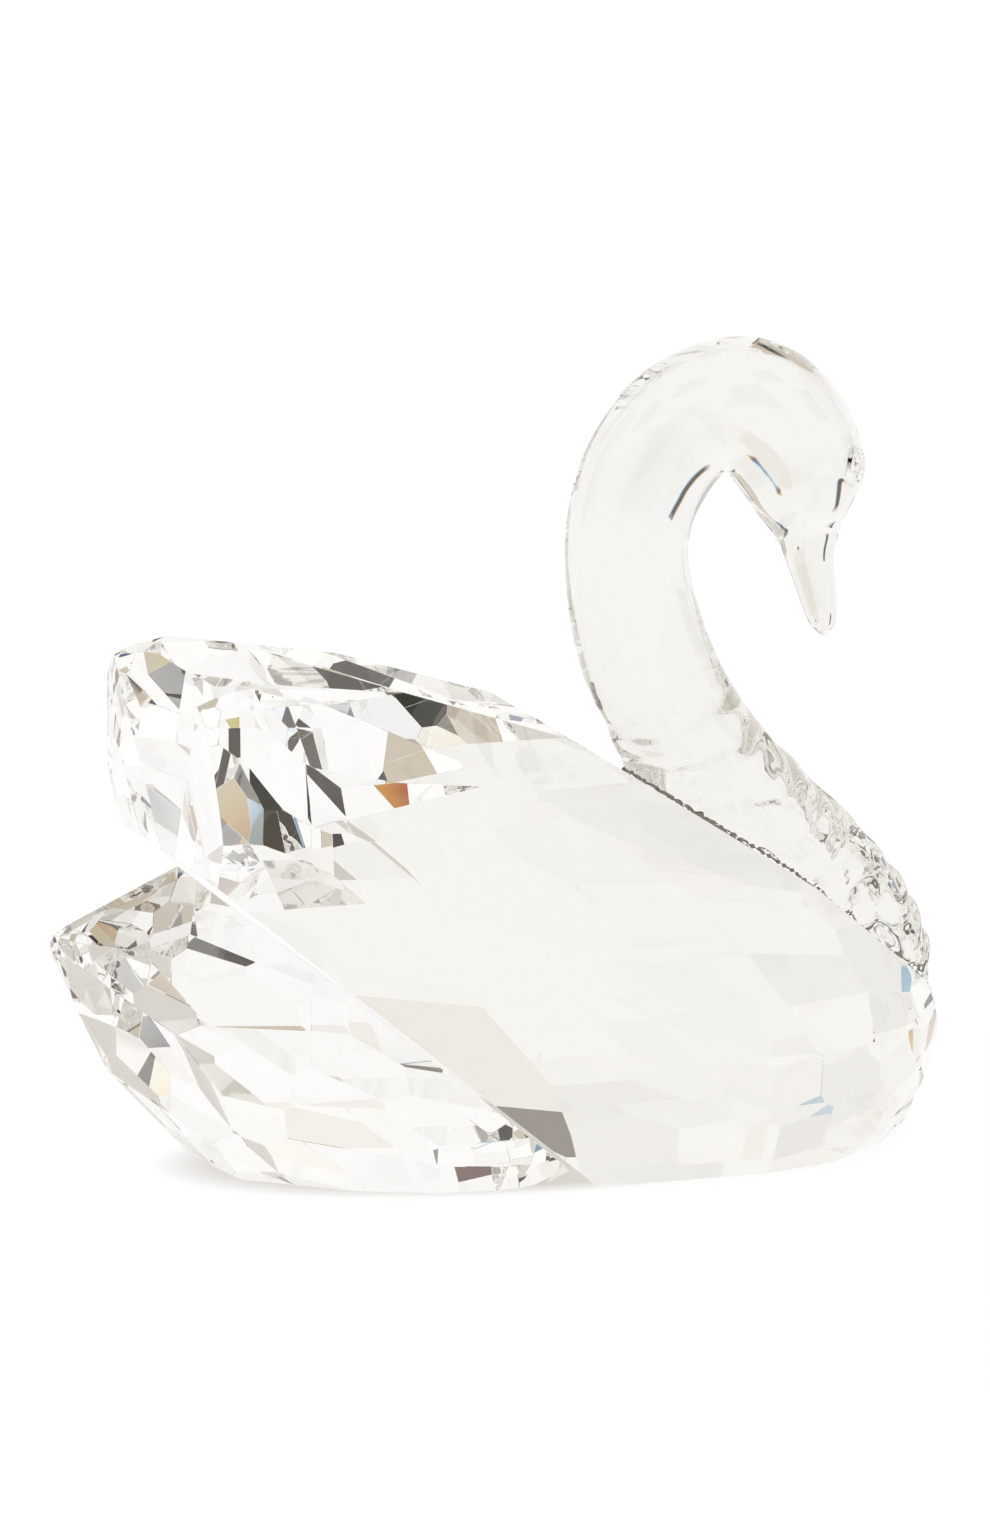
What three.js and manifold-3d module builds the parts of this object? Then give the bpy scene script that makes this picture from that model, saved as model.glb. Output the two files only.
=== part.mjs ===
// Cut-crystal swan: two mirrored faceted body halves with raised wings, a faceted tail block and a
// smooth pressed neck and head, joined by thin clear adhesive films. Millimetres, +X is where the swan
// looks, +Y is its left, +Z is up, and the flat base lies on z = 0.

import * as THREE from 'three';
import { mergeVertices } from 'three/addons/utils/BufferGeometryUtils.js';
import Module from 'manifold-3d';

const wasm = await Module();
wasm.setup();

// Driving dimensions
const filmThickness = 0.2;
const filmGap = 0.1; // clearance between a film and the crystal on either side of it
const filmInset = 0.8; // an adhesive film stops short of the crystal's outer edge
const blockSize = 400; // rough block that the lapidary's planes cut down

// Smooth swellings whose common hull is the right half of the body: centre, then radii along x, y, z
const bodySwellings = [
  { centre: [20, 0, 13.5], radii: [31.2, 27, 22.5] }, // breast
  { centre: [2, -4, 20], radii: [42, 25, 25] }, // flank
  { centre: [-8, -8.5, 32.3], radii: [27, 15.5, 19.6] }, // shoulder
  { centre: [-27, -13, 38], radii: [15, 15.5, 16] }, // rear flank
  { centre: [-34, -13.5, 49.8], radii: [9.4, 9.4, 8.6] }, // wing tip
];

// The same for the tail block, which is symmetric
const tailSwellings = [
  { centre: [-50, 0, 26.5], radii: [2, 2.5, 2] }, // tip
  { centre: [-37.5, 0, 25], radii: [6, 12, 6.5] }, // crown
  { centre: [-25, 0, 14.6], radii: [16, 22, 16.5] }, // heel
  { centre: [-6, 0, 9], radii: [17, 24.5, 15] }, // keel
];

// Planes that both halves share: a point on the plane and how far the plane tips down forwards
const neckSeats = [
  { point: [32, 0, 31.6], tilt: 33 }, // upper part of the seat, under the back of the neck
  { point: [32, 0, 31.6], tilt: 40 }, // lower part, down to the breast
];
const tailSeat = { point: [-16, 0, 17.2], tilt: 40 }; // the tail lies behind and below it
const rearFace = { point: [-39.8, 0, 56], lean: 4 }; // rear end of both wings
// broad facet behind the flank
const rearChamfer = { point: [-25.2, -28.3, 35.5], azimuth: -125, elevation: -30 };
const groove = { start: [-39, 0, 32.5], end: [14, 0, 43], rim: [-39, -16.5, 56] }; // V between the wings

// Rows of facets: elevation of the facet's outward direction, number of facets round a half turn
const bodyFacetRows = [
  { elevation: -66, count: 4 },
  { elevation: -44, count: 7 },
  { elevation: -24, count: 10 },
  { elevation: -6, count: 11 },
  { elevation: 11, count: 12 },
  { elevation: 26, count: 11 },
  { elevation: 41, count: 10 },
  { elevation: 56, count: 9 },
  { elevation: 69, count: 7 },
  { elevation: 81, count: 4 },
];
// Smaller facets on the flank, on the corners where three others meet
const starFacetRows = [
  { elevation: -14, count: 10 },
  { elevation: 3, count: 11 },
  { elevation: 19, count: 12 },
  { elevation: 34, count: 11 },
];
const tailFacetRows = [
  { elevation: -62, count: 5 },
  { elevation: -42, count: 8 },
  { elevation: -23, count: 9 },
  { elevation: -5, count: 10 },
  { elevation: 13, count: 10 },
  { elevation: 32, count: 8 },
  { elevation: 55, count: 5 },
];
const starLift = 0.25; // the small facets lie this far off the smooth form
const sideCrowding = 1.35; // above 1, facets crowd towards the broad flank

// Neck and head sections from the seat to the bill: the point on the outer curve, the point on the
// inner curve, and half the width across
const neckSections = [
  { outer: [16, 38], inner: [50.4, 11.5], halfWidth: 9.6 },
  { outer: [15, 42.6], inner: [51.7, 17.6], halfWidth: 9.6 },
  { outer: [14.5, 44.6], inner: [51.2, 21.6], halfWidth: 9.6 },
  { outer: [14.2, 45.6], inner: [48.6, 27.4], halfWidth: 9.4 },
  { outer: [13.6, 46.8], inner: [43.6, 34.1], halfWidth: 8.9 },
  { outer: [12.9, 48.2], inner: [37, 40.8], halfWidth: 8.3 },
  { outer: [11.9, 50.2], inner: [31.2, 47], halfWidth: 7.7 },
  { outer: [10.4, 53.6], inner: [26.9, 53.2], halfWidth: 7.3 },
  { outer: [9, 59.2], inner: [24, 59.7], halfWidth: 7 },
  { outer: [8.3, 65.7], inner: [22.3, 66.4], halfWidth: 6.8 },
  { outer: [8.6, 72.2], inner: [22.7, 70.6], halfWidth: 6.7 },
  { outer: [10.3, 78.4], inner: [24.1, 73.4], halfWidth: 6.8 },
  { outer: [13.2, 83.4], inner: [25.5, 75.3], halfWidth: 6.8 },
  { outer: [17.1, 87.5], inner: [26.6, 76.1], halfWidth: 6.8 },
  { outer: [22.8, 90.5], inner: [27.6, 75.8], halfWidth: 6.8 },
  { outer: [29.6, 91.4], inner: [28.6, 74.4], halfWidth: 6.9 },
  { outer: [35.6, 89.3], inner: [29.6, 73], halfWidth: 7 },
  { outer: [40, 85], inner: [30.5, 71.6], halfWidth: 6.9 },
  { outer: [42.6, 80], inner: [31.6, 70.2], halfWidth: 6.4 },
  { outer: [43.1, 75], inner: [32.8, 68.8], halfWidth: 5.2 },
  { outer: [41.2, 70.6], inner: [33.9, 66.8], halfWidth: 3.7 },
  { outer: [39.9, 66.6], inner: [34.9, 64.2], halfWidth: 3 },
  { outer: [40.2, 62.2], inner: [36, 61.2], halfWidth: 2.4 },
  { outer: [40.3, 59], inner: [37.1, 58.4], halfWidth: 1.8 },
  { outer: [39.7, 57.1], inner: [38.2, 56.9], halfWidth: 0.8 },
];
const neckRings = 62;
const neckSides = 28;
const eye = { centre: [40.5, 4.3, 76.4], radii: [1.8, 1.9, 2.5], segments: 14 };

const crystal = { color: 0xf3f0e9, roughness: 0.03, metalness: 0 };
const pressedGlass = { color: 0xf1efe9, roughness: 0.06, metalness: 0 };
const adhesive = { color: 0xe8e6df, roughness: 0.3, metalness: 0 };

const degrees = Math.PI / 180;
const vector = (values) => new THREE.Vector3(...values);

// A closed geometry as a solid that can be joined and cut
function toSolid(geometry) {
  const bare = new THREE.BufferGeometry();
  bare.setAttribute('position', geometry.getAttribute('position').clone());
  if (geometry.index) bare.setIndex(geometry.index.clone());
  const merged = mergeVertices(bare, 1e-5);
  return new wasm.Manifold(new wasm.Mesh({
    numProp: 3,
    vertProperties: new Float32Array(merged.getAttribute('position').array),
    triVerts: new Uint32Array(merged.index.array),
  }));
}

function toGeometry(solid) {
  const mesh = solid.getMesh();
  const geometry = new THREE.BufferGeometry();
  geometry.setAttribute('position', new THREE.BufferAttribute(mesh.vertProperties, 3));
  geometry.setIndex(new THREE.BufferAttribute(mesh.triVerts, 1));
  geometry.computeVertexNormals();
  return geometry;
}

function roughBlock() {
  return toSolid(new THREE.BoxGeometry(blockSize, blockSize, blockSize));
}

// Removes all that lies past the plane, on the side that the normal points to
function grind(solid, normal, distance) {
  const box = new THREE.BoxGeometry(2 * blockSize, 2 * blockSize, 2 * blockSize);
  box.translate(0, 0, blockSize);
  box.applyQuaternion(new THREE.Quaternion().setFromUnitVectors(new THREE.Vector3(0, 0, 1), normal));
  box.translate(...normal.clone().multiplyScalar(distance).toArray());
  return solid.subtract(toSolid(box));
}

// How far the hull of the swellings reaches in a direction: the furthest reach of any of its ellipsoids
function reach(swellings, normal) {
  return Math.max(...swellings.map(({ centre, radii }) =>
    vector(centre).dot(normal) + vector(radii).multiply(normal).length()));
}

function direction(azimuth, elevation) {
  return new THREE.Vector3(
    Math.cos(elevation * degrees) * Math.cos(azimuth * degrees),
    Math.cos(elevation * degrees) * Math.sin(azimuth * degrees),
    Math.sin(elevation * degrees),
  );
}

// Facet directions over the -Y half, staggered from row to row so that facets meet in kites and hexagons
function facetDirections(rows) {
  return rows.flatMap(({ elevation, count }, row) => {
    const shift = row % 2 ? 0.5 : 0.1;
    return Array.from({ length: count }, (unused, column) => {
      const along = (2 * (column + shift)) / count - 1;
      const azimuth = -90 + 90 * Math.sign(along) * Math.abs(along) ** sideCrowding;
      return direction(azimuth, elevation);
    });
  });
}

const neckSeatNormals = neckSeats.map(({ tilt }) => direction(0, 90 - tilt));
const tailSeatNormal = direction(0, 90 - tailSeat.tilt);
const rearNormal = direction(180, -rearFace.lean);
const grooveNormal = vector(groove.rim).sub(vector(groove.start))
  .cross(vector(groove.end).sub(vector(groove.start))).normalize();
const chamferNormal = direction(rearChamfer.azimuth, rearChamfer.elevation);
const middle = new THREE.Vector3(0, 1, 0);
const down = new THREE.Vector3(0, 0, -1);
const halfFilm = filmThickness / 2 + filmGap;

function grindNeckSeats(solid, offset) {
  return neckSeats.reduce((rest, { point }, i) =>
    grind(rest, neckSeatNormals[i], vector(point).dot(neckSeatNormals[i]) + offset), solid);
}

// The right half of the body, cut from a block facet by facet, then ground flat where it is bonded
function rightHalf() {
  let solid = roughBlock();
  for (const normal of facetDirections(bodyFacetRows)) {
    solid = grind(solid, normal, reach(bodySwellings, normal));
  }
  for (const normal of facetDirections(starFacetRows)) {
    solid = grind(solid, normal, reach(bodySwellings, normal) + starLift);
  }
  solid = grind(solid, chamferNormal, vector(rearChamfer.point).dot(chamferNormal));
  solid = grind(solid, rearNormal, vector(rearFace.point).dot(rearNormal));
  solid = grind(solid, grooveNormal, vector(groove.start).dot(grooveNormal));
  solid = grindNeckSeats(solid, -halfFilm);
  solid = grind(solid, tailSeatNormal.clone().negate(),
    -vector(tailSeat.point).dot(tailSeatNormal) - halfFilm);
  solid = grind(solid, middle, -halfFilm);
  return grind(solid, down, 0);
}

function tailBlock() {
  let solid = roughBlock();
  for (const normal of facetDirections(tailFacetRows)) {
    const mirrored = normal.clone().setY(-normal.y);
    solid = grind(solid, normal, reach(tailSwellings, normal));
    solid = grind(solid, mirrored, reach(tailSwellings, mirrored));
  }
  solid = grind(solid, tailSeatNormal, vector(tailSeat.point).dot(tailSeatNormal) - halfFilm);
  return grind(solid, down, 0);
}

// The neck's surface: an oval ring in the plane of each section, carried from the seat to the bill.
// Inset draws the ovals in, for the film under the foot.
function neckLoft(inset) {
  const curveThrough = (pick) => new THREE.CatmullRomCurve3(
    neckSections.map((section, i) => new THREE.Vector3(...pick(section, i))),
  );
  const outerCurve = curveThrough(({ outer }) => [outer[0], 0, outer[1]]);
  const innerCurve = curveThrough(({ inner }) => [inner[0], 0, inner[1]]);
  const widthCurve = curveThrough((section, i) => [i, 0, section.halfWidth]);
  const positions = [];
  const triangles = [];
  const addPoint = (point) => positions.push(point.x, point.y, point.z);
  for (let ring = 0; ring <= neckRings; ring += 1) {
    const t = ring / neckRings;
    const a = outerCurve.getPoint(t);
    const b = innerCurve.getPoint(t);
    const centre = a.clone().add(b).multiplyScalar(0.5);
    const depth = b.clone().sub(a).multiplyScalar(0.5);
    depth.setLength(depth.length() - inset);
    for (let side = 0; side < neckSides; side += 1) {
      const turn = (2 * Math.PI * side) / neckSides;
      const point = centre.clone().addScaledVector(depth, Math.cos(turn));
      point.y = (widthCurve.getPoint(t).z - inset) * Math.sin(turn);
      addPoint(point);
    }
  }
  for (let ring = 0; ring < neckRings; ring += 1) {
    for (let side = 0; side < neckSides; side += 1) {
      const next = (side + 1) % neckSides;
      const [a, b] = [ring * neckSides + side, ring * neckSides + next];
      triangles.push(a, b, a + neckSides, b, b + neckSides, a + neckSides);
    }
  }
  const last = neckRings * neckSides;
  for (let side = 1; side < neckSides - 1; side += 1) {
    triangles.push(0, side + 1, side);
    triangles.push(last, last + side, last + side + 1);
  }
  const geometry = new THREE.BufferGeometry();
  geometry.setAttribute('position', new THREE.BufferAttribute(new Float32Array(positions), 3));
  geometry.setIndex(triangles);
  return toSolid(geometry);
}

function neckAndHead() {
  let solid = neckLoft(0).subtract(grindNeckSeats(roughBlock(), halfFilm));
  for (const side of [-1, 1]) {
    const bead = new THREE.SphereGeometry(1, eye.segments, eye.segments);
    bead.scale(...eye.radii);
    bead.translate(eye.centre[0], side * eye.centre[1], eye.centre[2]);
    solid = solid.add(toSolid(bead));
  }
  return solid;
}

function neckBond() {
  const foot = grindNeckSeats(neckLoft(filmInset), filmThickness / 2);
  return foot.subtract(grindNeckSeats(roughBlock(), -filmThickness / 2));
}

// A film is a thin slab between two parallel planes, kept inside the crystal that it joins
function filmBetween(solid, normal, middleDistance) {
  const topped = grind(solid, normal, middleDistance + filmThickness / 2);
  return grind(topped, normal.clone().negate(), -(middleDistance - filmThickness / 2));
}

function shrunkHull(swellings, rows) {
  let solid = roughBlock();
  for (const normal of facetDirections(rows)) {
    solid = grind(solid, normal, reach(swellings, normal) - filmInset);
    const mirrored = normal.clone().setY(-normal.y);
    solid = grind(solid, mirrored, reach(swellings, mirrored) - filmInset);
  }
  return grind(solid, down, -filmInset);
}

function wingBond() {
  let film = shrunkHull(bodySwellings, bodyFacetRows);
  film = grind(film, rearNormal, vector(rearFace.point).dot(rearNormal) - filmInset);
  const grooveFloor = vector(groove.end).sub(vector(groove.start)).cross(middle).normalize();
  film = grind(film, grooveFloor, vector(groove.start).dot(grooveFloor) - filmInset);
  film = grindNeckSeats(film, -filmInset);
  film = grind(film, tailSeatNormal.clone().negate(),
    -vector(tailSeat.point).dot(tailSeatNormal) - filmInset);
  return filmBetween(film, middle, 0);
}

function tailBond() {
  const film = shrunkHull(tailSwellings, tailFacetRows);
  return filmBetween(film, tailSeatNormal, vector(tailSeat.point).dot(tailSeatNormal));
}

function named(name, solid, finish) {
  const mesh = new THREE.Mesh(toGeometry(solid), new THREE.MeshStandardMaterial(finish));
  mesh.name = name;
  return mesh;
}

const swan = new THREE.Group();
const rightWing = rightHalf();
swan.add(named('right_wing', rightWing, crystal));
swan.add(named('left_wing', rightWing.mirror([0, 1, 0]), crystal));
swan.add(named('tail', tailBlock(), crystal));
swan.add(named('neck_and_head', neckAndHead(), pressedGlass));
swan.add(named('wing_bond', wingBond(), adhesive));
swan.add(named('tail_bond', tailBond(), adhesive));
swan.add(named('neck_bond', neckBond(), adhesive));

// The origin is the middle of the overall outline, on the face that the swan rests on
const outline = new THREE.Box3().setFromObject(swan);
swan.position.set(-(outline.min.x + outline.max.x) / 2, 0, -outline.min.z);

export default swan;
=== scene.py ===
import math

import bpy
import bmesh
import numpy as np
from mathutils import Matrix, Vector


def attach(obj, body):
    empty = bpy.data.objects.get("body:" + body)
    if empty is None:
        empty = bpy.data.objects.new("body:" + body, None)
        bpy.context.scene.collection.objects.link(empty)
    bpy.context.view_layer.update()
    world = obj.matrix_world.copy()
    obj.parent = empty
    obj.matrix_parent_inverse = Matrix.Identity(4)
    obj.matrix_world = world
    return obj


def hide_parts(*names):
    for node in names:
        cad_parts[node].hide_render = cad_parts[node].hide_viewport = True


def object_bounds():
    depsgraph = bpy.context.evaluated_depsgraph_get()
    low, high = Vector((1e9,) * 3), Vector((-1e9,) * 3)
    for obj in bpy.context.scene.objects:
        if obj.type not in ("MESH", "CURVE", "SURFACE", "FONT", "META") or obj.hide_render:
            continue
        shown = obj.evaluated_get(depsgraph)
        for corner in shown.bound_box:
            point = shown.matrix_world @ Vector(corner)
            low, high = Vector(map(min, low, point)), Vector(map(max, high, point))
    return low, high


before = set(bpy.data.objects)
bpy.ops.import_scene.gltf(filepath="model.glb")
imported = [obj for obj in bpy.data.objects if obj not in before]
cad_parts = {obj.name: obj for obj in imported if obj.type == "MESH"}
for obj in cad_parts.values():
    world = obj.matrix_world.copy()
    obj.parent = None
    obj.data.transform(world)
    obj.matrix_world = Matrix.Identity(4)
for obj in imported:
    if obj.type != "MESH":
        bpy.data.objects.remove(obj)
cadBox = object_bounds()
mm = 0.001
print("stage 1: frame loaded,", len(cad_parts), "nodes")

# Every glass is one recipe with its own numbers
glassKinds = {
    "cutCrystal": {"tint": (0.940, 0.932, 0.912, 1.0), "index": 1.55, "roughness": 0.0},
    "pressedGlass": {"tint": (0.880, 0.868, 0.842, 1.0), "index": 1.51, "roughness": 0.0},
}


def emptyMaterial(name):
    material = bpy.data.materials.new(name)
    material.use_nodes = True
    material.node_tree.nodes.clear()
    output = material.node_tree.nodes.new("ShaderNodeOutputMaterial")
    return material, material.node_tree.nodes, material.node_tree.links, output


def glassMaterial(name, polish=None):
    kind = glassKinds[name]
    material, nodes, links, output = emptyMaterial(name)
    glass = nodes.new("ShaderNodeBsdfPrincipled")
    glass.inputs["Base Color"].default_value = kind["tint"]
    glass.inputs["Roughness"].default_value = kind["roughness"]
    glass.inputs["IOR"].default_value = kind["index"]
    glass.inputs["Transmission Weight"].default_value = 1.0
    if polish:
        links.new(polish(nodes, links), glass.inputs["Normal"])
    links.new(glass.outputs[0], output.inputs["Surface"])
    return material


def polishLines(scale, strength):
    # Very faint waves left by the polishing wheel or the mould
    def build(nodes, links):
        coord = nodes.new("ShaderNodeTexCoord")
        noise = nodes.new("ShaderNodeTexNoise")
        noise.inputs["Scale"].default_value = scale
        noise.inputs["Detail"].default_value = 2.0
        bump = nodes.new("ShaderNodeBump")
        bump.inputs["Strength"].default_value = strength
        bump.inputs["Distance"].default_value = 0.0002
        links.new(coord.outputs["Object"], noise.inputs["Vector"])
        links.new(noise.outputs["Fac"], bump.inputs["Height"])
        return bump.outputs["Normal"]
    return build


def bondedMaterial(name):
    # A face that is cemented to its neighbour: the cement fills it, so light crosses it unbent
    material, nodes, links, output = emptyMaterial(name)
    clear = nodes.new("ShaderNodeBsdfTransparent")
    clear.inputs["Color"].default_value = (1.0, 1.0, 1.0, 1.0)
    links.new(clear.outputs[0], output.inputs["Surface"])
    return material


filmSettings = {
    "haze": (0.9, 0.89, 0.86, 1.0),
    "hazeRoughness": 0.4,
    "voidScale": 900.0,          # tiny voids to the metre
    "voidFrom": 0.70,            # noise value at which a void starts, and where it is full
    "voidTo": 0.80,
    "voidStrength": 0.12,
}


def filmMaterial(name):
    # Cured cement: clear, with a trace of haze and tiny voids
    material, nodes, links, output = emptyMaterial(name)
    clear = nodes.new("ShaderNodeBsdfTransparent")
    haze = nodes.new("ShaderNodeBsdfPrincipled")
    haze.inputs["Base Color"].default_value = filmSettings["haze"]
    haze.inputs["Roughness"].default_value = filmSettings["hazeRoughness"]
    coord = nodes.new("ShaderNodeTexCoord")
    cells = nodes.new("ShaderNodeTexNoise")
    cells.inputs["Scale"].default_value = filmSettings["voidScale"]
    ramp = nodes.new("ShaderNodeValToRGB")
    ramp.color_ramp.elements[0].position = filmSettings["voidFrom"]
    ramp.color_ramp.elements[1].position = filmSettings["voidTo"]
    ramp.color_ramp.elements[0].color = (0.0, 0.0, 0.0, 1.0)
    strength = filmSettings["voidStrength"]
    ramp.color_ramp.elements[1].color = (strength, strength, strength, 1.0)
    mix = nodes.new("ShaderNodeMixShader")
    links.new(coord.outputs["Object"], cells.inputs["Vector"])
    links.new(cells.outputs["Fac"], ramp.inputs["Fac"])
    links.new(ramp.outputs["Color"], mix.inputs["Fac"])
    links.new(clear.outputs[0], mix.inputs[1])
    links.new(haze.outputs[0], mix.inputs[2])
    links.new(mix.outputs[0], output.inputs["Surface"])
    return material


cutCrystal = glassMaterial("cutCrystal")
pressedGlass = glassMaterial("pressedGlass", polishLines(60.0, 0.02))
bondedFace = bondedMaterial("bondedFace")
bondFilm = filmMaterial("bondFilm")
print("stage 2: materials made")

crystalSettings = {
    "edge": 0.07 * mm,       # width of the ground edge between two facets
    "edgeFrom": 3.0,         # facets meeting at less than this many degrees have no ground edge
    "bondReach": 0.35 * mm,  # a face this close to a film all over is a bonded face
    "merge": 0.002 * mm,     # points closer than this are one point
    "flat": 0.4,             # triangles within this many degrees are one facet
}


def filmPlanes():
    # Each film's plane as a point and a direction, from the film's broadest face
    planes = []
    for name in ("wing_bond", "tail_bond", "neck_bond"):
        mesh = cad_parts[name].data
        normals, middles, areas = {}, {}, {}
        for face in mesh.polygons:
            key = tuple(round(abs(v), 2) for v in face.normal)
            areas[key] = areas.get(key, 0.0) + face.area
            normals[key] = face.normal.copy()
            middles[key] = middles.get(key, Vector()) + face.center * face.area
        widest = sorted(areas, key=areas.get)[-2 if name == "neck_bond" else -1:]
        for key in widest:
            planes.append((middles[key] / areas[key], normals[key]))
    return planes


bondPlanes = filmPlanes()


def onBond(points):
    # True where every point lies close to the same bond plane
    for middle, normal in bondPlanes:
        if all(abs((p - middle).dot(normal)) < crystalSettings["bondReach"] for p in points):
            return True
    return False


def cutPiece(nodeName, pieceName):
    # A copy of the solid with its doubles merged and each facet one face; bonded faces get their own slot
    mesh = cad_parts[nodeName].data.copy()
    mesh.name = pieceName
    work = bmesh.new()
    work.from_mesh(mesh)
    bmesh.ops.remove_doubles(work, verts=work.verts, dist=crystalSettings["merge"])
    flat = math.radians(crystalSettings["flat"])
    bmesh.ops.dissolve_limit(work, angle_limit=flat, verts=work.verts, edges=work.edges)
    bmesh.ops.recalc_face_normals(work, faces=work.faces)
    bonded = [face for face in work.faces if onBond([v.co for v in face.verts])]
    for face in work.faces:
        face.smooth = False
        face.material_index = 1 if face in bonded else 0
    work.to_mesh(mesh)
    work.free()
    mesh.materials.clear()
    mesh.materials.append(cutCrystal)
    mesh.materials.append(bondedFace)
    piece = bpy.data.objects.new(pieceName, mesh)
    bpy.context.scene.collection.objects.link(piece)
    bevel = piece.modifiers.new("groundEdge", "BEVEL")
    bevel.width = crystalSettings["edge"]
    bevel.segments = 1
    bevel.limit_method = "ANGLE"
    bevel.angle_limit = math.radians(crystalSettings["edgeFrom"])
    bevel.material = 0
    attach(piece, "root")
    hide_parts(nodeName)
    print("  ", pieceName, len(mesh.polygons), "facets,", len(bonded), "bonded")
    return piece


for nodeName in ("right_wing", "left_wing", "tail"):
    cutPiece(nodeName, nodeName + "_cut")
print("stage 3: crystals cut")

neck = {
    # outer x, outer z, inner x, inner z, half width, in millimetres from the seat to the bill
    "sections": (
        (16.0, 38.0, 50.4, 11.5, 9.6), (15.0, 42.6, 51.7, 17.6, 9.6), (14.5, 44.6, 51.2, 21.6, 9.6),
        (14.2, 45.6, 48.6, 27.4, 9.4), (13.6, 46.8, 43.6, 34.1, 8.9), (12.9, 48.2, 37.0, 40.8, 8.3),
        (11.9, 50.2, 31.2, 47.0, 7.7), (10.4, 53.6, 26.9, 53.2, 7.3), (9.0, 59.2, 24.0, 59.7, 7.0),
        (8.3, 65.7, 22.3, 66.4, 6.8), (8.6, 72.2, 22.7, 70.6, 6.7), (10.3, 78.4, 24.1, 73.4, 6.8),
        (13.2, 83.4, 25.5, 75.3, 6.8), (17.1, 87.5, 26.6, 76.1, 6.8), (22.8, 90.5, 27.6, 75.8, 6.8),
        (29.6, 91.4, 28.6, 74.4, 6.9), (35.6, 89.3, 29.6, 73.0, 7.0), (40.0, 85.0, 30.5, 71.6, 6.9),
        (42.6, 80.0, 31.6, 70.2, 6.4), (43.1, 75.0, 32.8, 68.8, 5.2), (41.2, 70.6, 33.9, 66.8, 3.7),
        (39.9, 66.6, 34.9, 64.2, 3.0), (40.2, 62.2, 36.0, 61.2, 2.4), (40.3, 59.0, 37.1, 58.4, 1.8),
        (39.8, 57.5, 38.0, 57.3, 1.1), (39.4, 56.9, 38.5, 56.8, 0.6), (39.0, 56.75, 38.9, 56.74, 0.05),
    ),
    "sharpAngle": 38.0,   # edges sharper than this stay sharp, degrees
    "rings": 420,
    "sides": 200,
    "footWave": 0.21,     # height of the flow waves over the foot, mm
    "mouldWave": 0.006,   # the same over the rest of the neck
    "outwards": -1.0,     # turns the cross product of the grid's two directions outwards
    "shift": 0.3,         # from the table's x to the frame's x, mm
    "eye": (41.0, 5.2, 77.0),
    "eyeBead": (0.75, 0.62),        # height and radius of the bead
    "eyeRing": (0.62, 1.55, 0.30),  # height, radius and width of the ring round it
}


def catmullRom(table, place):
    # Each span is a cubic whose end slopes are half the step between the neighbouring rows
    table = np.array(table, float)
    padded = np.vstack([2 * table[0] - table[1], table, 2 * table[-1] - table[-2]])
    span = np.minimum(place.astype(int), len(table) - 2)
    t = (place - span)[:, None]
    a, b, c, d = padded[span], padded[span + 1], padded[span + 2], padded[span + 3]
    return 0.5 * (2 * b + (c - a) * t + (2 * a - 5 * b + 4 * c - d) * t**2
                  + (3 * b - a - 3 * c + d) * t**3)


def loftNeck():
    # Ring point = middle + half the depth times cosine, and half the width times sine across.
    # Rings crowd where the eye is: step size = 1 - 0.65 exp(-((section - 18) / 1.6)^2).
    # The points of a ring crowd at its two sides: turn = t + 0.22 sin(2 t).
    last = len(neck["sections"]) - 1
    fine = np.linspace(0.0, last, 4000)
    weight = np.cumsum(1.0 / (1.0 - 0.65 * np.exp(-((fine - 18.0) / 1.6) ** 2)))
    place = np.interp(np.linspace(weight[0], weight[-1], neck["rings"]), weight, fine)
    rows = catmullRom(neck["sections"], place)
    turn = np.linspace(0.0, 2 * math.pi, neck["sides"], endpoint=False)
    turn = (turn + 0.22 * np.sin(2 * turn))[None, :]
    outer, inner = rows[:, 0:2], rows[:, 2:4]
    middle, depth = (outer + inner) / 2, (inner - outer) / 2
    x = middle[:, 0:1] + depth[:, 0:1] * np.cos(turn)
    z = middle[:, 1:2] + depth[:, 1:2] * np.cos(turn)
    y = rows[:, 4:5] * np.sin(turn)
    return np.stack([x, y, z], axis=-1), place[:, None] + 0.0 * turn


def outwardOf(points):
    # Cross product of the differences along the rings and round them
    along = np.gradient(points, axis=0)
    around = np.roll(points, -1, axis=1) - np.roll(points, 1, axis=1)
    normal = np.cross(along, around)
    return normal / np.maximum(np.linalg.norm(normal, axis=-1, keepdims=True), 1e-9)


def neckRelief(points, place):
    # Waves: height times sin(q + 2 sin(p)), with p and q lengths across and along the flow, and a finer
    # set over it; slow swellings elsewhere. The waves fade from ring row 4.0 to row 6.6.
    # Eye: bead = height exp(-(r / radius)^2), ring = height exp(-((r - radius) / width)^2)
    x, y, z = points[..., 0], points[..., 1], points[..., 2]
    flow = np.sin(1.15 * (z - 0.35 * x) + 2.0 * np.sin(0.33 * x + 0.30 * y) + 0.7 * np.sin(0.6 * y))
    flow += 0.35 * np.sin(1.7 * (x + 0.4 * z) + 1.5 * np.sin(0.45 * z - 0.4 * y))
    foot = np.clip((6.6 - place) / 2.6, 0.0, 1.0)
    slow = np.sin(0.42 * z + 0.31 * x) * np.sin(0.5 * y + 0.2 * z) + 0.4 * np.sin(0.9 * x - 0.55 * z)
    height = neck["footWave"] * foot * flow + neck["mouldWave"] * (1.0 - foot) * slow
    centre = np.array(neck["eye"])
    mirrored = np.stack([x, np.abs(y), z], axis=-1)
    r = np.linalg.norm((mirrored - centre) * (1.0, 1.0, 0.8), axis=-1)
    tall, radius = neck["eyeBead"]
    height += tall * np.exp(-((r / radius) ** 2))
    tall, radius, width = neck["eyeRing"]
    height += tall * np.exp(-(((r - radius) / width) ** 2))
    return height[..., None]


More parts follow.
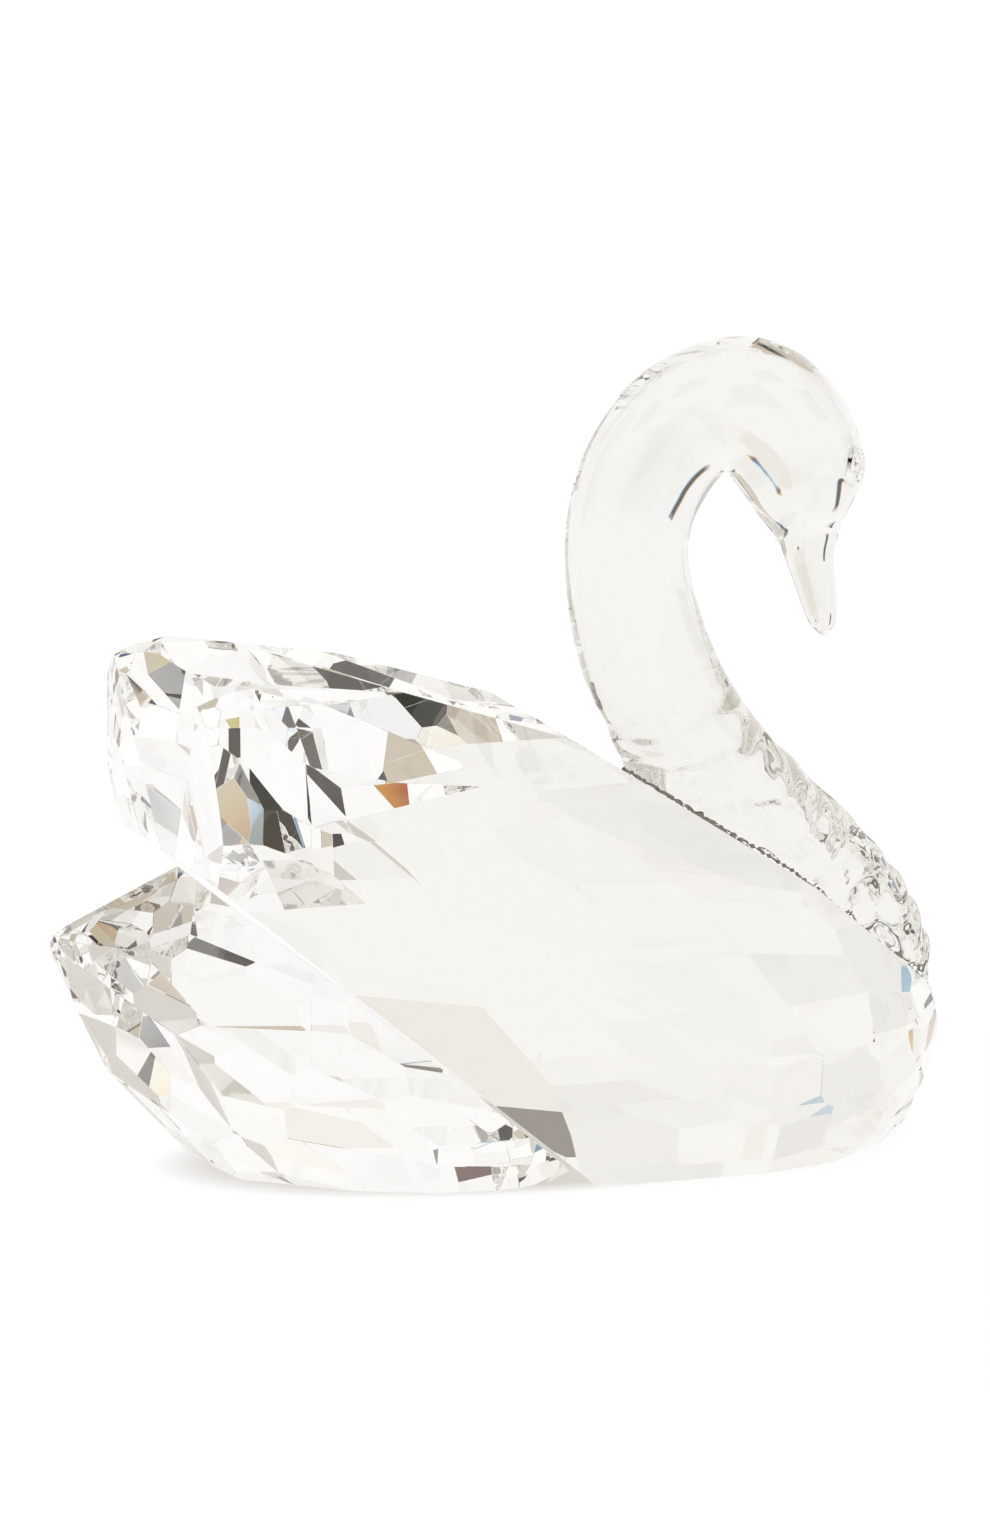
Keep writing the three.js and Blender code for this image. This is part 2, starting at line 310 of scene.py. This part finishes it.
def gridFaces(rings, sides):
    i, j = np.meshgrid(np.arange(rings - 1), np.arange(sides), indexing="ij")
    k = (j + 1) % sides
    quads = np.stack([i * sides + j, i * sides + k, (i + 1) * sides + k, (i + 1) * sides + j], axis=-1)
    return quads.reshape(-1, 4)


def turnOutwards(thing):
    work = bmesh.new()
    work.from_mesh(thing.data)
    bmesh.ops.recalc_face_normals(work, faces=work.faces)
    work.to_mesh(thing.data)
    work.free()


def meshObject(name, vertices, faces):
    mesh = bpy.data.meshes.new(name)
    mesh.from_pydata(np.asarray(vertices).tolist(), [], [list(map(int, face)) for face in faces])
    mesh.update()
    thing = bpy.data.objects.new(name, mesh)
    bpy.context.scene.collection.objects.link(thing)
    return thing


# The seat under the neck: x and z of its ridge, the tilts of its two planes, and the gap left for cement
neckSeat = {"ridge": (32.0, 31.6), "tilts": (33.0, 40.0), "gap": 0.2}


def seatWedge(lifted):
    # The roof-shaped block under the two seat planes, wider and deeper than the neck: its planes meet
    # over the ridge and each runs at its own tilt
    x0, z0 = neckSeat["ridge"]
    reach = 60.0
    profile = [
        (x0 - reach, z0 + reach * math.tan(math.radians(neckSeat["tilts"][0]))),
        (x0, z0),
        (x0 + reach, z0 - reach * math.tan(math.radians(neckSeat["tilts"][1]))),
        (x0 + reach, -90.0), (x0 - reach, -90.0),
    ]
    tilt = math.radians(sum(neckSeat["tilts"]) / 2)
    lift = (lifted * math.sin(tilt), lifted * math.cos(tilt))
    side = len(profile)
    vertices = [(x + lift[0], y, z + lift[1]) for y in (-40.0, 40.0) for x, z in profile]
    faces = [tuple(range(side)), tuple(reversed(range(side, 2 * side)))]
    faces += [((i + 1) % side, i, i + side, (i + 1) % side + side) for i in range(side)]
    return np.array(vertices), faces


def neckPiece():
    points, place = loftNeck()
    points = points + outwardOf(points) * neckRelief(points, place) * neck["outwards"]
    rings, sides = points.shape[:2]
    vertices = np.vstack([points.reshape(-1, 3), points[0].mean(0)[None], points[-1].mean(0)[None]])
    shift = np.array([neck["shift"], 0.0, 0.0])
    faces = list(gridFaces(rings, sides))
    first, last, base = rings * sides, rings * sides + 1, (rings - 1) * sides
    faces += [(first, (j + 1) % sides, j) for j in range(sides)]
    faces += [(last, base + j, base + (j + 1) % sides) for j in range(sides)]
    piece = meshObject("neck_and_head_glass", (vertices + shift) * mm, faces)
    wedgeVertices, wedgeFaces = seatWedge(neckSeat["gap"])
    wedge = meshObject("seatWedge", (wedgeVertices + shift) * mm, wedgeFaces)
    turnOutwards(piece)
    turnOutwards(wedge)
    cut = piece.modifiers.new("seatCut", "BOOLEAN")
    cut.operation = "DIFFERENCE"
    cut.solver = "EXACT"
    cut.object = wedge
    bpy.context.view_layer.update()
    done = bpy.data.meshes.new_from_object(piece.evaluated_get(bpy.context.evaluated_depsgraph_get()))
    piece.modifiers.clear()
    piece.data = done
    bpy.data.objects.remove(wedge)
    done.materials.clear()
    done.materials.append(pressedGlass)
    done.materials.append(bondedFace)
    bonded = 0
    for polygon in done.polygons:
        polygon.use_smooth = True
        onSeat = onBond([done.vertices[i].co for i in polygon.vertices]) and polygon.normal.z < -0.6
        polygon.material_index = 1 if onSeat else 0
        bonded += onSeat
    done.set_sharp_from_angle(angle=math.radians(neck["sharpAngle"]))
    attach(piece, "root")
    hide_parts("neck_and_head")
    print("   neck", len(done.polygons), "faces,", bonded, "bonded")
    beadPiece(points)


bead = {
    "radius": 0.15,            # mm
    "wobble": 0.16,            # how far the line wanders in and out, mm
    "inset": 0.12,             # how far it sits inside the edge, mm
    "steps": 1400,
    "sides": 8,
    "tint": (0.30, 0.27, 0.23, 1.0),
    "roughness": 0.12,
    "clearness": 0.75,
}


def beadMaterial(name):
    # The thin line of cement squeezed out at a joint: clear brownish resin, crinkled
    material, nodes, links, output = emptyMaterial(name)
    resin = nodes.new("ShaderNodeBsdfPrincipled")
    resin.inputs["Base Color"].default_value = bead["tint"]
    resin.inputs["Roughness"].default_value = bead["roughness"]
    resin.inputs["IOR"].default_value = 1.5
    resin.inputs["Transmission Weight"].default_value = bead["clearness"]
    links.new(resin.outputs[0], output.inputs["Surface"])
    return material


def seatOutline(points):
    # For each line of the grid from foot to bill: the point where it comes out of the roof-shaped seat,
    # found where the greater of its distances above the two planes changes sign
    x0, z0 = neckSeat["ridge"]
    distance = np.full(points.shape[:2], -1e9)
    for tilt in neckSeat["tilts"]:
        t = math.radians(tilt)
        plane = (points[..., 0] - x0) * math.sin(t) + (points[..., 2] - z0) * math.cos(t)
        distance = np.maximum(distance, plane - neckSeat["gap"] / 2)
    ring = np.argmax(distance > 0, axis=0)
    side = np.arange(points.shape[1])
    low, high = distance[ring - 1, side], distance[ring, side]
    share = (-low / (high - low))[:, None]
    return points[ring - 1, side] * (1 - share) + points[ring, side] * share


def beadPiece(points):
    # Tube along the outline: radius times (1 + 0.5 sin 83u + 0.4 sin 131u), moved in and out by
    # wobble times (sin 59u + 0.6 sin(97u + 1)) less the inset, with u once round the outline
    outline = seatOutline(points)
    u = np.linspace(0.0, 2 * math.pi, bead["steps"], endpoint=False)
    around = np.linspace(0.0, 2 * math.pi, len(outline) + 1)
    closed = np.vstack([outline, outline[:1]])
    path = np.stack([np.interp(u, around, closed[:, i]) for i in range(3)], axis=-1)
    out = path - path.mean(0)
    out[:, 2] = 0.0
    out /= np.linalg.norm(out, axis=1, keepdims=True)
    path += out * (bead["wobble"] * (np.sin(59 * u) + 0.6 * np.sin(97 * u + 1)) - bead["inset"])[:, None]
    along = np.roll(path, -1, axis=0) - np.roll(path, 1, axis=0)
    along /= np.linalg.norm(along, axis=1, keepdims=True)
    second = np.cross(along, out)
    second /= np.linalg.norm(second, axis=1, keepdims=True)
    first = np.cross(second, along)
    radius = bead["radius"] * (1.0 + 0.5 * np.sin(83 * u) + 0.4 * np.sin(131 * u))[:, None, None]
    turn = np.linspace(0.0, 2 * math.pi, bead["sides"], endpoint=False)[None, :, None]
    tube = path[:, None] + radius * (np.cos(turn) * first[:, None] + np.sin(turn) * second[:, None])
    sides, steps = bead["sides"], bead["steps"]
    i, j = np.meshgrid(np.arange(steps), np.arange(sides), indexing="ij")
    a, b, k = i * sides, ((i + 1) % steps) * sides, (j + 1) % sides
    faces = np.stack([a + j, b + j, b + k, a + k], axis=-1).reshape(-1, 4)
    piece = meshObject("neck_bond_bead", (tube.reshape(-1, 3) + (neck["shift"], 0.0, 0.0)) * mm, faces)
    turnOutwards(piece)
    piece.data.shade_smooth()
    piece.data.materials.append(beadMaterial("beadCement"))
    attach(piece, "root")


neckPiece()
print("stage 4: neck lofted")

for name in ("wing_bond", "tail_bond", "neck_bond"):
    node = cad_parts[name]
    node.data.materials.clear()
    node.data.materials.append(bondFilm)

stageSettings = {
    "floorSize": 8.0,     # metres
    "floorGlow": 0.92,    # own light of the floor, which keeps it white
    "floorPaint": 0.14,   # how much of the light falling on it comes back
    "paintedShadeMiddle": (4.0, 0.0),          # where the swan rests, the middle of the shade painted on the floor under it, in mm
    "paintedShadeHalf": (42.0, 22.0),
    # painted shade: the floor colour under the swan, standing in for its shadow
    "paintedRestShade": (0.72, 0.69, 0.64),
    "paintedShadeFade": (0.85, 1.05),          # share of the half size where the painted shade starts and stops fading
    "floorDrop": 0.02,                 # mm below the flat base, so that the two don't share a plane
    "azimuth": -18.0,          # where the camera stands, degrees and metres
    "elevation": 11.0,
    "distance": 1.1,
    "frameHeight": 0.1715,     # height of the picture at the swan, in metres
    "aimShare": 0.485,         # how far up the swan the camera aims
}


def maths(nodes, links):
    # A short way to write node arithmetic: value("ADD", a, b) with numbers or sockets
    def value(operation, *inputs, clamp=False):
        node = nodes.new("ShaderNodeMath")
        node.operation = operation
        node.use_clamp = clamp
        for socket, item in zip(node.inputs, inputs):
            if isinstance(item, (int, float)):
                socket.default_value = item
            else:
                links.new(item, socket)
        return node.outputs[0]
    return value


def makeFloor():
    size = stageSettings["floorSize"] / 2
    mesh = bpy.data.meshes.new("floor")
    corners = [(-size, -size, 0), (size, -size, 0), (size, size, 0), (-size, size, 0)]
    mesh.from_pydata(corners, [], [(0, 1, 2, 3)])
    floor = bpy.data.objects.new("floor", mesh)
    bpy.context.scene.collection.objects.link(floor)
    floor.location.z = -stageSettings["floorDrop"] * mm
    # Brightness = 1 outside an ellipse, fading to a painted shade inside it under the swan, in both the
    # floor's paint and its own light
    material, nodes, links, output = emptyMaterial("paleFloor")
    value = maths(nodes, links)
    coord = nodes.new("ShaderNodeTexCoord")
    split = nodes.new("ShaderNodeSeparateXYZ")
    links.new(coord.outputs["Object"], split.inputs[0])
    (midX, midY), (halfX, halfY) = stageSettings["paintedShadeMiddle"], stageSettings["paintedShadeHalf"]
    across = value("DIVIDE", value("SUBTRACT", split.outputs[0], midX * mm), halfX * mm)
    along = value("DIVIDE", value("SUBTRACT", split.outputs[1], midY * mm), halfY * mm)
    r = value("SQRT", value("ADD", value("MULTIPLY", across, across), value("MULTIPLY", along, along)))
    fadeFrom, fadeTo = stageSettings["paintedShadeFade"]
    lit = value("MULTIPLY", value("SUBTRACT", r, fadeFrom), 1.0 / (fadeTo - fadeFrom), clamp=True)
    # painted shade: the floor colour darkens inside the ellipse under the swan
    channels = [value("MULTIPLY_ADD", lit, 1.0 - shade, shade) for shade in stageSettings["paintedRestShade"]]
    paintedShadeTone = nodes.new("ShaderNodeCombineXYZ")
    for socket, channel in zip(paintedShadeTone.inputs, channels):
        links.new(channel, socket)
    paint = nodes.new("ShaderNodeBsdfDiffuse")
    scaled = nodes.new("ShaderNodeVectorMath")
    scaled.operation = "SCALE"
    scaled.inputs["Scale"].default_value = stageSettings["floorPaint"]
    links.new(paintedShadeTone.outputs[0], scaled.inputs[0])
    links.new(scaled.outputs[0], paint.inputs["Color"])
    glow = nodes.new("ShaderNodeEmission")
    glow.inputs["Strength"].default_value = stageSettings["floorGlow"]
    links.new(paintedShadeTone.outputs[0], glow.inputs["Color"])
    add = nodes.new("ShaderNodeAddShader")
    links.new(paint.outputs[0], add.inputs[0])
    links.new(glow.outputs[0], add.inputs[1])
    links.new(add.outputs[0], output.inputs["Surface"])
    mesh.materials.append(material)


deepDark, brownDark = (0.06, 0.05, 0.04), (0.10, 0.09, 0.075)
midGrey, paleGrey = (0.50, 0.48, 0.45), (0.62, 0.60, 0.57)
khaki, sand, umber = (0.60, 0.53, 0.43), (0.93, 0.91, 0.87), (0.24, 0.21, 0.18)
# Dark parts of the room round the white tent. Each row: azimuth of its middle, from the front of the set
# towards +X; elevation of its middle; half size across; half size up (degrees); and its paint
roomZones = (
    (-18.0, 14.0, 20.0, 16.0, paleGrey),
    (-18.0, 16.0, 11.0, 9.0, brownDark),
    (210.0, 57.0, 14.0, 10.0, khaki),
    (202.0, 56.0, 4.0, 9.0, deepDark),
    (214.0, 58.0, 3.4, 8.0, deepDark),
    (90.0, 3.0, 14.0, 4.0, deepDark),
    (94.0, 11.0, 14.0, 4.0, khaki),
    (128.0, 46.0, 9.0, 8.0, deepDark),
    (60.0, 22.0, 8.0, 8.0, deepDark),
    (172.0, 72.0, 14.0, 8.0, brownDark),
    (96.0, 28.0, 22.0, 12.0, khaki),
    (99.0, 28.0, 3.0, 12.0, deepDark),
    (258.0, 24.0, 12.0, 18.0, midGrey),
    (250.0, 20.0, 4.0, 16.0, brownDark),
    (228.0, 36.0, 5.0, 12.0, brownDark),
    (40.0, 44.0, 10.0, 6.0, brownDark),
    (300.0, 45.0, 10.0, 7.0, brownDark),
    (340.0, 58.0, 16.0, 6.0, brownDark),
    (20.0, 22.0, 6.0, 12.0, brownDark),
    (146.0, 3.2, 9.0, 4.0, sand),
    (146.0, 10.2, 0.7, 0.7, umber),
    (188.0, 8.0, 1.4, 6.0, brownDark),
)
worldSettings = {
    "tent": (1.02, 1.015, 1.005),
    "overhead": 0.10,  # how much brighter the top of the tent is
    "soft": 1.6,       # degrees over which a zone's edge fades
    "spread": 0.24,    # degrees between the red, green and blue edges of a zone
}


def makeWorld():
    # Light = tent (1 + overhead sin(elevation)) times, for each zone, its paint where
    # max(|azimuth gap| / half across, |elevation gap| / half up) is under 1, rising straight to 1 past it.
    # Red and blue have each zone's middle set a little aside, which gives its edges coloured fringes.
    world = bpy.data.worlds.new("tent")
    bpy.context.scene.world = world
    world.use_nodes = True
    nodes, links = world.node_tree.nodes, world.node_tree.links
    nodes.clear()
    value = maths(nodes, links)
    coord = nodes.new("ShaderNodeTexCoord")
    split = nodes.new("ShaderNodeSeparateXYZ")
    links.new(coord.outputs["Generated"], split.inputs[0])
    x, y, z = split.outputs
    azimuth = value("DEGREES", value("ARCTAN2", x, value("MULTIPLY", y, -1.0)))
    elevation = value("DEGREES", value("ARCSINE", z))
    rising = value("MULTIPLY_ADD", value("MAXIMUM", z, 0.0), worldSettings["overhead"], 1.0)
    channels = []
    for channel in range(3):
        aside = (channel - 1) * worldSettings["spread"]
        light = value("MULTIPLY", rising, worldSettings["tent"][channel])
        for middle, height, halfAcross, halfUp, paint in roomZones:
            gap = value("WRAP", value("SUBTRACT", azimuth, middle + aside), 180.0, -180.0)
            across = value("DIVIDE", value("ABSOLUTE", gap), halfAcross)
            rise = value("SUBTRACT", elevation, height + aside)
            up = value("DIVIDE", value("ABSOLUTE", rise), halfUp)
            beyond = value("SUBTRACT", value("MAXIMUM", across, up), 1.0)
            lit = value("MULTIPLY", beyond, halfAcross / worldSettings["soft"], clamp=True)
            shade = paint[channel]
            light = value("MULTIPLY", light, value("MULTIPLY_ADD", lit, 1.0 - shade, shade))
        channels.append(light)
    colour = nodes.new("ShaderNodeCombineXYZ")
    for socket, channel in zip(colour.inputs, channels):
        links.new(channel, socket)
    background = nodes.new("ShaderNodeBackground")
    output = nodes.new("ShaderNodeOutputWorld")
    links.new(colour.outputs[0], background.inputs["Color"])
    links.new(background.outputs[0], output.inputs["Surface"])


def makeCamera():
    low, high = cadBox
    azimuth, elevation = math.radians(stageSettings["azimuth"]), math.radians(stageSettings["elevation"])
    back = Vector((
        math.sin(azimuth) * math.cos(elevation),
        -math.cos(azimuth) * math.cos(elevation),
        math.sin(elevation),
    ))
    target = Vector((
        (low[0] + high[0]) / 2, (low[1] + high[1]) / 2,
        low[2] + (high[2] - low[2]) * stageSettings["aimShare"],
    ))
    data = bpy.data.cameras.new("camera")
    camera = bpy.data.objects.new("camera", data)
    bpy.context.scene.collection.objects.link(camera)
    camera.location = target + back * stageSettings["distance"]
    camera.rotation_euler = (-back).to_track_quat("-Z", "Y").to_euler()
    data.sensor_fit = "VERTICAL"
    data.sensor_height = 36.0
    data.lens = 36.0 * stageSettings["distance"] / stageSettings["frameHeight"]
    data.clip_start = 0.01
    data.clip_end = 50.0
    bpy.context.scene.camera = camera


makeFloor()
makeWorld()
makeCamera()
scene = bpy.context.scene
scene.view_settings.view_transform = "Standard"
scene.cycles.max_bounces = 32
scene.cycles.transmission_bounces = 32
scene.cycles.glossy_bounces = 24
scene.cycles.transparent_max_bounces = 32
scene.cycles.diffuse_bounces = 2
scene.cycles.use_denoising = True
print("stage 5: stage, light and camera set")
